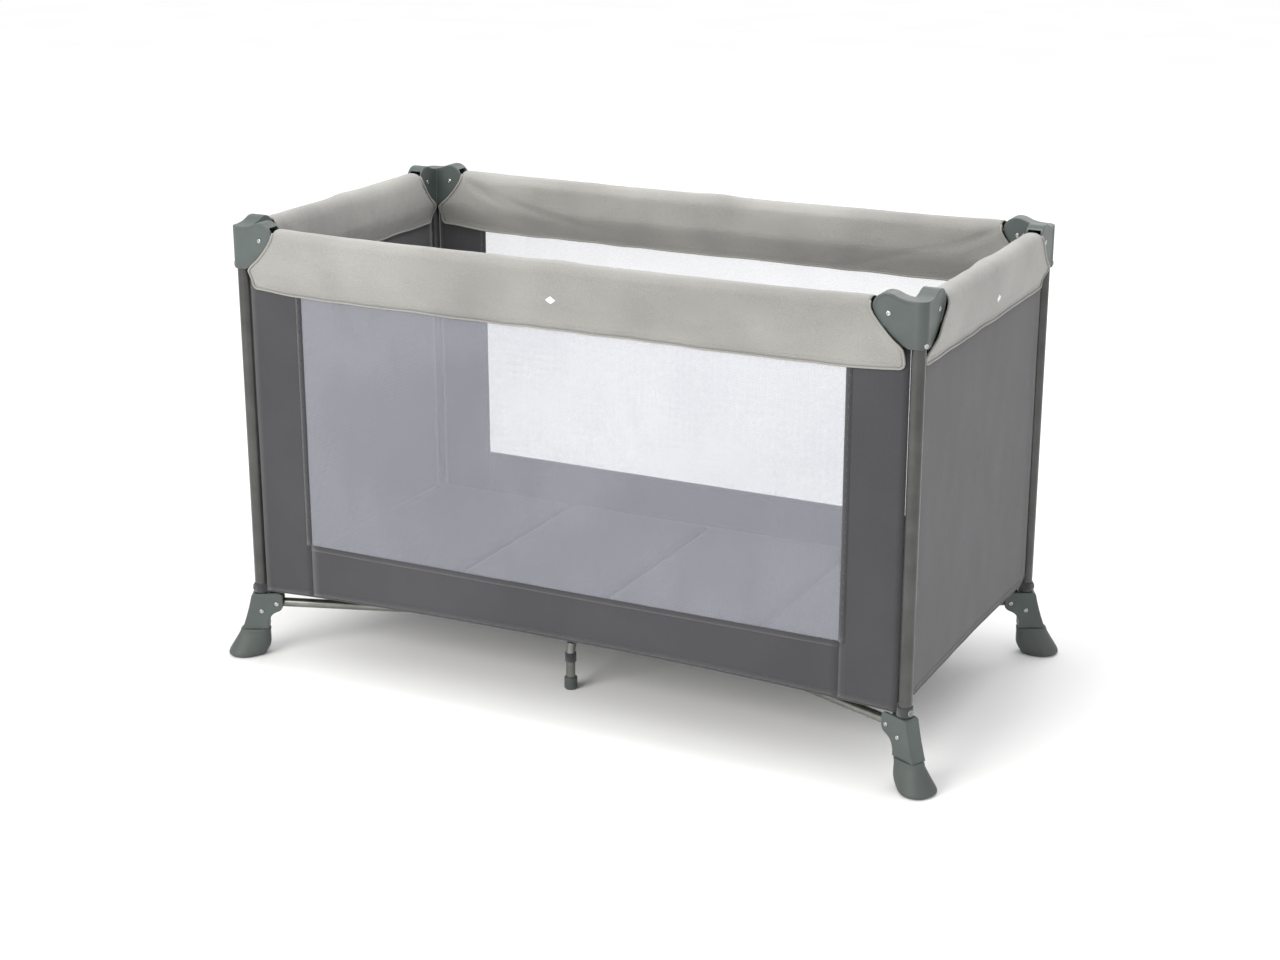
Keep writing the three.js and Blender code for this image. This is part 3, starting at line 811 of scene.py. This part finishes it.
def cover_half(z, bottom):
    """Half the sleeve's thickness at height z below its round top."""
    if z >= COVER_ARC_Z:
        return COVER_HALF * max(1 - ((z - COVER_ARC_Z) / COVER_HALF) ** 2.5, 0.0) ** 0.4
    hem = bottom + 4 * MM
    return HEM_HALF + (COVER_HALF - HEM_HALF) * smooth_step((z - hem) / (712 * MM - hem))


def wrinkle(point, seed):
    """Small hollows and folds of a padded sleeve, in metres."""
    p = Vector(point)
    long_way = noise.noise(Vector((p.x * 5, p.y * 5, p.z * 9 + seed)))
    short_way = noise.noise(Vector((p.x * 22, p.y * 22, p.z * 12 + seed)))
    fine = noise.noise(Vector((p.x * 60, p.y * 60, p.z * 30 + seed)))
    return 1.5 * MM * long_way + 0.7 * MM * short_way + 0.25 * MM * fine


def cover_point(i, x, z, face):
    """A point on side i's cover: face is -1 outside, 1 inside. x runs from the side's first post."""
    span = span_of(i)
    middle = span / 2
    base = cover_bottom(i, x)
    near = min(x, span - x)
    edge = end_gap(z, base)
    reach = 170 * MM
    if near < reach:
        moved = edge + (near - COVER_END) * (reach - edge) / (reach - COVER_END)
        x = moved if x < middle else span - moved
    y = cover_half(z, base) * face
    at_middle = math.exp(-(((x - middle) / (34 * MM)) ** 2))
    upper = smooth_step((z - 695 * MM) / (20 * MM))
    y += face * 1.6 * MM * at_middle * upper
    z += 1.8 * MM * at_middle * smooth_step((z - 740 * MM) / (25 * MM))
    folds = wrinkle((x, y + 0.3 * i, z), 3.1 * i)
    pull = math.exp(-((near - COVER_END) / (60 * MM))) * math.sin((z + 0.6 * near) / (7 * MM))
    swell = folds + 0.5 * MM * pull
    lean = 1.0 if z < COVER_ARC_Z else max(0.0, math.cos((z - COVER_ARC_Z) / COVER_HALF * math.pi / 2))
    fade = smooth_step((z - base) / (20 * MM))
    y += face * swell * lean * (0.35 + 0.65 * fade)
    z += swell * (1 - lean) * 0.8
    return Vector((x, y, z))


def cover_section(i, x):
    """Heights and faces round the sleeve, from the outer hem over the top to the inner hem."""
    base = cover_bottom(i, x)
    levels = [base + (COVER_ARC_Z - base) * k / 22 for k in range(23)]
    arc = [COVER_ARC_Z + COVER_HALF * math.sin(math.pi / 2 * k / 7) for k in range(1, 8)]
    outer = [(z, -1) for z in levels + arc]
    return outer + [(z, 1) for z in reversed((levels + arc)[:-1])]


def cover_stations(i):
    """Evenly spaced places along a cover."""
    span = span_of(i)
    count = 150 if i % 2 == 0 else 80
    return [COVER_END + (span - 2 * COVER_END) * k / (count - 1) for k in range(count)]


for i, (corner, *_) in enumerate(CORNERS):
    side, span, place = SIDES[i], span_of(i), corner_place(i)
    stations = cover_stations(i)
    points = []
    for x in stations:
        points += [cover_point(i, x, z, face) for z, face in cover_section(i, x)]
    columns = len(cover_section(i, 0))
    faces = grid_faces(len(stations), columns)
    cover = turn_outwards(piece(f"{side}_cover_sleeve", points, faces, COVER_CLOTH, place))
    held = {k for k in range(len(points)) if k % columns in (0, 1, columns - 2, columns - 1)}
    held |= set(range(columns)) | set(range(len(points) - columns, len(points)))
    puff(cover, COVER_SWELL, 2.5, sorted(held))
    skin = BVHTree.FromObject(cover, bpy.context.evaluated_depsgraph_get())
    thicken(cover, 1.8 * MM, offset=-1)

    def on_cover(x, z, face, lift):
        """The place on the finished sleeve nearest the pattern's x and z."""
        point = place @ cover_point(i, x, z, face)
        outwards = place.to_3x3() @ Vector((0, face, 0))
        hit = skin.ray_cast(point + outwards * 30 * MM, -outwards)[0]
        return (hit or point) + outwards * lift

    middle = span / 2

    def sewn_on(obj):
        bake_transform(obj)

    sewn_on(cover)
    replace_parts(cover, f"{side}_rail_cover")

    for face, label in ((-1, "outer"), (1, "inner")):
        cut = [z * MM for z in range(766, 676, -4)]
        start, end = COVER_END, span - COVER_END
        path = [cover_point(i, start, z, face) for z in cut]
        corner_turn = [cover_bottom(i, start) + (9 - k) * MM for k in range(10)]
        path += [cover_point(i, start, z, face) for z in corner_turn]
        path += [cover_point(i, x, cover_bottom(i, x), face) for x in stations[1:-1]]
        path += [cover_point(i, end, z, face) for z in reversed(corner_turn)]
        path += [cover_point(i, end, z, face) for z in reversed(cut)]
        beads = [place @ (p + Vector((0, 0.6 * MM * face, 0))) for p in path]
        sewn_on(cord_along(f"{side}_cover_piping_{label}", beads, 1.9 * MM, COVER_PIPING))
        row = [on_cover(x, cover_bottom(i, x) + 9 * MM, face, 0.2 * MM) for x in stations[3:-3]]
        sewn_on(stitches(f"{side}_cover_seam_{label}", [row], THREAD, thickness=1.1 * MM))

    if i in (0, 1):
        flat = []
        steps = 6
        for r in range(steps + 1):
            for c in range(steps + 1):
                u, v = r / steps, c / steps
                x, z = middle + 9 * MM * (u + v - 1), MARK_Z + 6.5 * MM * (v - u)
                flat.append(on_cover(x, z, -1, 0.25 * MM))
        patch = piece(f"{side}_cover_mark", flat, grid_faces(steps + 1, steps + 1), MARK_PRINT)
        sewn_on(thicken(patch, 0.3 * MM))

# ---- Walls --------

WALL_EDGE = 12.5 * MM
WALL_TOP = 698 * MM
WINDOW_EDGE = 111 * MM
WINDOW_BOTTOM = 219 * MM
CLOTH = 1.5 * MM
COARSE = 14 * MM  # spacing of the points on the cloth
FINE = 12 * MM


def wall_bottom(i, x):
    """The wall's lower edge arches up between the feet and is notched at the posts."""
    span = span_of(i)
    s = abs(2 * x / span - 1)
    if i % 2 == 0:
        return 135 * MM - 15 * MM * s**2.2
    return 143 * MM - 6 * MM * s**2 + 16 * MM * smooth_step((s - 0.88) / 0.1)


def wall_point(i, x, z):
    """A point on side i's stretched cloth, which is pulled slightly in between its edges."""
    span = span_of(i)
    across = math.sin(math.pi * min(max(x / span, 0), 1))
    up = math.sin(math.pi * min(max((z - 120 * MM) / (560 * MM), 0), 1))
    y = 2.2 * MM * across * up
    y += 1.0 * MM * noise.noise(Vector((x * 7, z * 5, 4.0 * i))) * min(1, across * 3)
    y += 0.5 * MM * noise.noise(Vector((x * 24, z * 9, 9.0 * i)))
    return Vector((x, y, z))


def levels_between(low, high, step):
    count = max(2, int(round((high - low) / step)) + 1)
    return [low + (high - low) * k / (count - 1) for k in range(count)]


def wall_patch(name, i, xs, heights, material, thickness=CLOTH):
    """Cloth over the places xs; heights(x) gives its lower and upper edges."""
    rows, count = [], None
    for x in xs:
        low, high = heights(x)
        count = count or len(levels_between(low, high, FINE))
        rows += [wall_point(i, x, low + (high - low) * k / (count - 1)) for k in range(count)]
    patch = piece(name, rows, grid_faces(len(xs), count), material, corner_place(i))
    return thicken(patch, thickness) if thickness else patch


def gather(obj, i):
    """Cloth between two posts rides on the first."""
    corner, sx, sy, _ = CORNERS[i]
    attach(obj, f"corner_{corner}")
    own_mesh(obj)
    return obj


def on_both_faces(lines, place, lift):
    """Lines on the wall's middle moved out to each of its two faces."""
    step = CLOTH / 2 + lift
    return [[place @ (p + Vector((0, y * step, 0))) for p in line] for line in lines for y in (-1, 1)]


for i, (corner, *_) in enumerate(CORNERS):
    side, span, place = SIDES[i], span_of(i), corner_place(i)
    full = [WALL_EDGE] + levels_between(24 * MM, span - 24 * MM, COARSE) + [span - WALL_EDGE]
    node = f"{side}_wall"

    def whole(x):
        return wall_bottom(i, x), WALL_TOP

    if i % 2:
        cloth = wall_patch(f"{side}_wall_cloth", i, full, whole, WALL_CLOTH)
        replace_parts(gather(cloth, i), node)
        seams = [[wall_point(i, x, wall_bottom(i, x) + 9 * MM) for x in full[2:-2]]]
    else:
        inner = levels_between(WINDOW_EDGE, span - WINDOW_EDGE, COARSE)
        left = levels_between(WALL_EDGE, WINDOW_EDGE, FINE)
        right = [span - x for x in reversed(left)]
        parts = [
            ("left_column", left, whole, WALL_CLOTH, CLOTH),
            ("right_column", right, whole, WALL_CLOTH, CLOTH),
            ("lower_band", inner, lambda x: (wall_bottom(i, x), WINDOW_BOTTOM), WALL_CLOTH, CLOTH),
            ("net", inner, lambda x: (WINDOW_BOTTOM, WALL_TOP), NET, 0),
        ]
        for label, xs, heights, material, thickness in parts:
            cloth = wall_patch(f"{side}_wall_{label}", i, xs, heights, material, thickness)
            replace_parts(gather(cloth, i), node)
            low, high = heights(xs[len(xs) // 2])
            flat = (xs[-1] - xs[0], high - low)
        seams, tacks = [], []
        for x in (WINDOW_EDGE - 5 * MM, span - WINDOW_EDGE + 5 * MM):
            low = wall_bottom(i, x) + 4 * MM
            seams.append([wall_point(i, x, z) for z in levels_between(low, WINDOW_BOTTOM, FINE)])
            tacks.append([wall_point(i, x, z) for z in levels_between(WINDOW_BOTTOM, 664 * MM, FINE)])
        seams.append([wall_point(i, x, wall_bottom(i, x) + 9 * MM) for x in full[2:-2]])
        seams.append([wall_point(i, x, WINDOW_BOTTOM - 5 * MM) for x in inner])
        upright = levels_between(WINDOW_BOTTOM, 672 * MM, COARSE)
        bands = [
            ("lower", [(x, WINDOW_BOTTOM) for x in inner], (0, 10 * MM)),
            ("left", [(WINDOW_EDGE, z) for z in upright], (10 * MM, 0)),
            ("right", [(span - WINDOW_EDGE, z) for z in upright], (-10 * MM, 0)),
        ]
        for label, line, (dx, dz) in bands:
            shares = (-0.1, 0.4, 0.9)
            rows = [wall_point(i, x - dx * t, z - dz * t) for x, z in line for t in shares]
            faces = grid_faces(len(line), len(shares))
            tape = piece(f"{side}_wall_binding_{label}", rows, faces, BINDING_CLOTH, place)
            gather(thicken(tape, CLOTH + 1.4 * MM), i)
    hem = [wall_point(i, x, wall_bottom(i, x)) for x in full]
    gather(cord_along(f"{side}_wall_hem", [place @ p for p in hem], 1.7 * MM, BINDING_CLOTH), i)
    rows = on_both_faces(seams, place, 0.3 * MM)
    gather(stitches(f"{side}_wall_stitching", rows, DARK_THREAD, thickness=1.1 * MM), i)
    if i % 2 == 0:
        rows = on_both_faces(tacks, place, 0.9 * MM)
        gather(stitches(f"{side}_wall_bar_tacks", rows, DARK_THREAD, 16 * MM, 7 * MM, 2.4 * MM), i)

# ---- Mattress and floor --------

PANEL_LENGTH = 289 * MM
MATTRESS_HALF_WIDTH = 279 * MM
MATTRESS_HALF_LENGTH = 578 * MM
MATTRESS_LOW = 131 * MM
MATTRESS_HIGH = 157 * MM
PANEL_GAP = 0.8 * MM
SWELL = 2.2 * MM  # how far the filling pushes each face out
FLOOR_Z = 129.2 * MM


def mattress_panel(index):
    """A board and foam panel in a sewn cover: crowned top, rounded edges and small creases in its cloth."""
    low = -MATTRESS_HALF_LENGTH + index * PANEL_LENGTH + PANEL_GAP
    high = low + PANEL_LENGTH - 2 * PANEL_GAP
    columns, rows = 44, 80
    half_thick = (MATTRESS_HIGH - MATTRESS_LOW) / 2 - SWELL
    middle = (MATTRESS_HIGH + MATTRESS_LOW) / 2
    points = []
    for face in (1, -1):
        for r in range(rows + 1):
            for c in range(columns + 1):
                x = low + (high - low) * c / columns
                y = MATTRESS_HALF_WIDTH * (2 * r / rows - 1)
                border = min(x - low, high - x, y + MATTRESS_HALF_WIDTH, MATTRESS_HALF_WIDTH - y)
                rounded = math.sqrt(max(0.0, 1 - (1 - min(border / (9 * MM), 1)) ** 2))
                crease = 0.9 * MM * noise.noise(Vector((x * 11, y * 8, 2.0)))
                crease += 0.9 * MM * abs(noise.noise(Vector((x * 6 + y * 9, y * 4 - x * 5, 7.0))))
                z = middle + face * half_thick * rounded + (crease * rounded if face > 0 else 0)
                points.append((x, y, z))
    count = (rows + 1) * (columns + 1)
    faces = [tuple(reversed(f)) for f in grid_faces(rows + 1, columns + 1)]
    faces += [tuple(k + count for k in f) for f in grid_faces(rows + 1, columns + 1)]
    panel = turn_outwards(piece(f"mattress_pad_{index + 1}", points, faces, MATTRESS_CLOTH))
    modify(panel, "REMESH", mode="VOXEL", voxel_size=6 * MM, use_smooth_shade=True)
    settle(panel)
    puff(panel, SWELL, 4)
    modify(panel, "SUBSURF", levels=1, render_levels=1)
    settle(panel)
    return panel


def mattress_edge(index):
    """The bound seam round a panel's middle, as a closed run of points."""
    low = -MATTRESS_HALF_LENGTH + index * PANEL_LENGTH + 2.4 * MM
    high = low + PANEL_LENGTH - 4.8 * MM
    width = MATTRESS_HALF_WIDTH - 1.4 * MM
    z = (MATTRESS_HIGH + MATTRESS_LOW) / 2
    radius = 8 * MM
    path = []
    right, left, back, front = high - radius, low + radius, width - radius, radius - width
    for quarter, (x, y) in enumerate(((right, back), (left, back), (left, front), (right, front))):
        for k in range(6):
            angle = math.pi / 2 * (quarter + k / 5)
            path.append(Vector((x + radius * math.cos(angle), y + radius * math.sin(angle), z)))
    return path + [path[0]]


for index in range(4):
    pad = mattress_panel(index)
    body = f"mattress_{index + 1}"
    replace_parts(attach(pad, body), f"mattress_panel_{index + 1}")
    seam = cord_along(f"mattress_seam_{index + 1}", mattress_edge(index), 1.3 * MM, BINDING_CLOTH)
    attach(seam, body)
    for soft in (pad, seam):
        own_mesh(soft)


def floor_quadrant(i):
    """A quarter of the floor cloth, which rides on the floor tube under it."""
    corner, sx, sy, _ = CORNERS[i]
    steps_x, steps_y = 84, 42
    reach_x, reach_y = 596 * MM, 300.5 * MM
    points = []
    for r in range(steps_y + 1):
        for c in range(steps_x + 1):
            x, y = reach_x * c / steps_x, reach_y * r / steps_y
            over = max(x + y - (reach_x + reach_y - 20 * MM), 0.0)  # cut off at the post
            x -= over / 2
            y -= over / 2
            sag = 0.5 * MM * noise.noise(Vector((sx * x * 9, sy * y * 9, 1.0)))
            long_side = smooth_step((y - reach_y + 14 * MM) / (14 * MM))
            short_side = smooth_step((x - reach_x + 14 * MM) / (14 * MM))
            rise_long = wall_bottom(0, HALF_LENGTH + x) + 5 * MM - FLOOR_Z
            rise_short = wall_bottom(1, HALF_WIDTH + y) + 5 * MM - FLOOR_Z
            lift = max(rise_long * long_side, rise_short * short_side)
            points.append((sx * x, sy * y, FLOOR_Z + sag + lift))
    quarter = piece(f"floor_cloth_{corner}", points, grid_faces(steps_y + 1, steps_x + 1), FLOOR_CLOTH)
    thicken(turn_outwards(quarter), 1.4 * MM)
    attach(quarter, f"floor_arm_{corner}")
    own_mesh(quarter)
    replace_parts(quarter, "floor_fabric")


for i in range(4):
    floor_quadrant(i)

# ---- Tabs on the posts that tie the cloth to the frame, and dark bands on the centre legs ---


def band(radius, low, high):
    """A webbing ring's profile, with soft edges."""
    outer, soft = radius + 1.3 * MM, 0.4 * MM
    lower = [(radius, low + soft), ((radius + outer) / 2, low), (outer, low + soft)]
    return lower + [(r, high - (z - low)) for r, z in reversed(lower)]


SNAP_CAP = [(0.1, 0), (5.4, 0), (5.6, 0.7), (4.8, 1.7), (3.4, 2.2), (3.0, 1.7), (0.1, 1.6)]

for i, (corner, *_) in enumerate(CORNERS):
    profile = band(POST_RADIUS + 0.3 * MM, 117.5 * MM, 133 * MM)
    ring = turned(f"post_tab_{corner}", profile, BINDING_CLOTH, foot_place(i))
    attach(ring, f"corner_{corner}")
    facing = Matrix.Translation((12.5 * MM, 0, 125 * MM)) @ Matrix.Rotation(math.pi / 2, 4, "Y")
    cap = turned(f"post_snap_{corner}", millimetres(SNAP_CAP), BUTTON_PLASTIC, foot_place(i) @ facing, 24)
    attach(cap, f"corner_{corner}")

# A dark band in the binding cloth round the top of each centre leg's upright part, 50 to 66 mm up.
LEG_OUT = 204 * MM  # from the yard's middle to a centre leg's upright part
LEG_AZIMUTH = math.atan2(-200, -39)
for name, turn in (("front", 0), ("back", math.pi)):
    place = Matrix.Rotation(LEG_AZIMUTH + turn, 4, "Z") @ Matrix.Translation((LEG_OUT, 0, 0))
    loop = turned(f"{name}_leg_loop", band(8.3 * MM, 50 * MM, 66 * MM), BINDING_CLOTH, place)
    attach(loop, f"{name}_leg")

# ---- CAD pieces that are shown as they are --------


def finish_node(name, material):
    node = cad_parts[name]
    for slot in node.material_slots:
        slot.material = material
    if not node.material_slots:
        node.data.materials.append(material)


finish_node("hub_body", HOUSING_PLASTIC)
finish_node("hub_cap", LATCH_PLASTIC)
finish_node("pull_strap", BINDING_CLOTH)
for name in ("front", "back"):
    finish_node(f"{name}_centre_leg", FLOOR_STEEL)
    finish_node(f"{name}_centre_leg_cap", BOOT_RUBBER)
for side in SIDES:
    finish_node(f"{side}_latch_body", LATCH_PLASTIC)
    finish_node(f"{side}_latch_catch", LATCH_PLASTIC)
    finish_node(f"{side}_latch_button", BUTTON_PLASTIC)

# ---- Floor of the studio --------

paper, tree, shader, place = surface("matt studio paper", Roughness=1.0, Specular_IOR_Level=0.0)
lumps = add(tree, "ShaderNodeTexNoise", {"Vector": place, "Scale": 2})
tint(tree, shader, lumps.outputs["Fac"], "#fcfcfc", "#ffffff")
reach = 14.0
square = [(reach * x, reach * y, 0) for x, y in ((-1, -1), (1, -1), (1, 1), (-1, 1))]
ground = piece("studio_floor", square, [(0, 1, 2, 3)], paper)
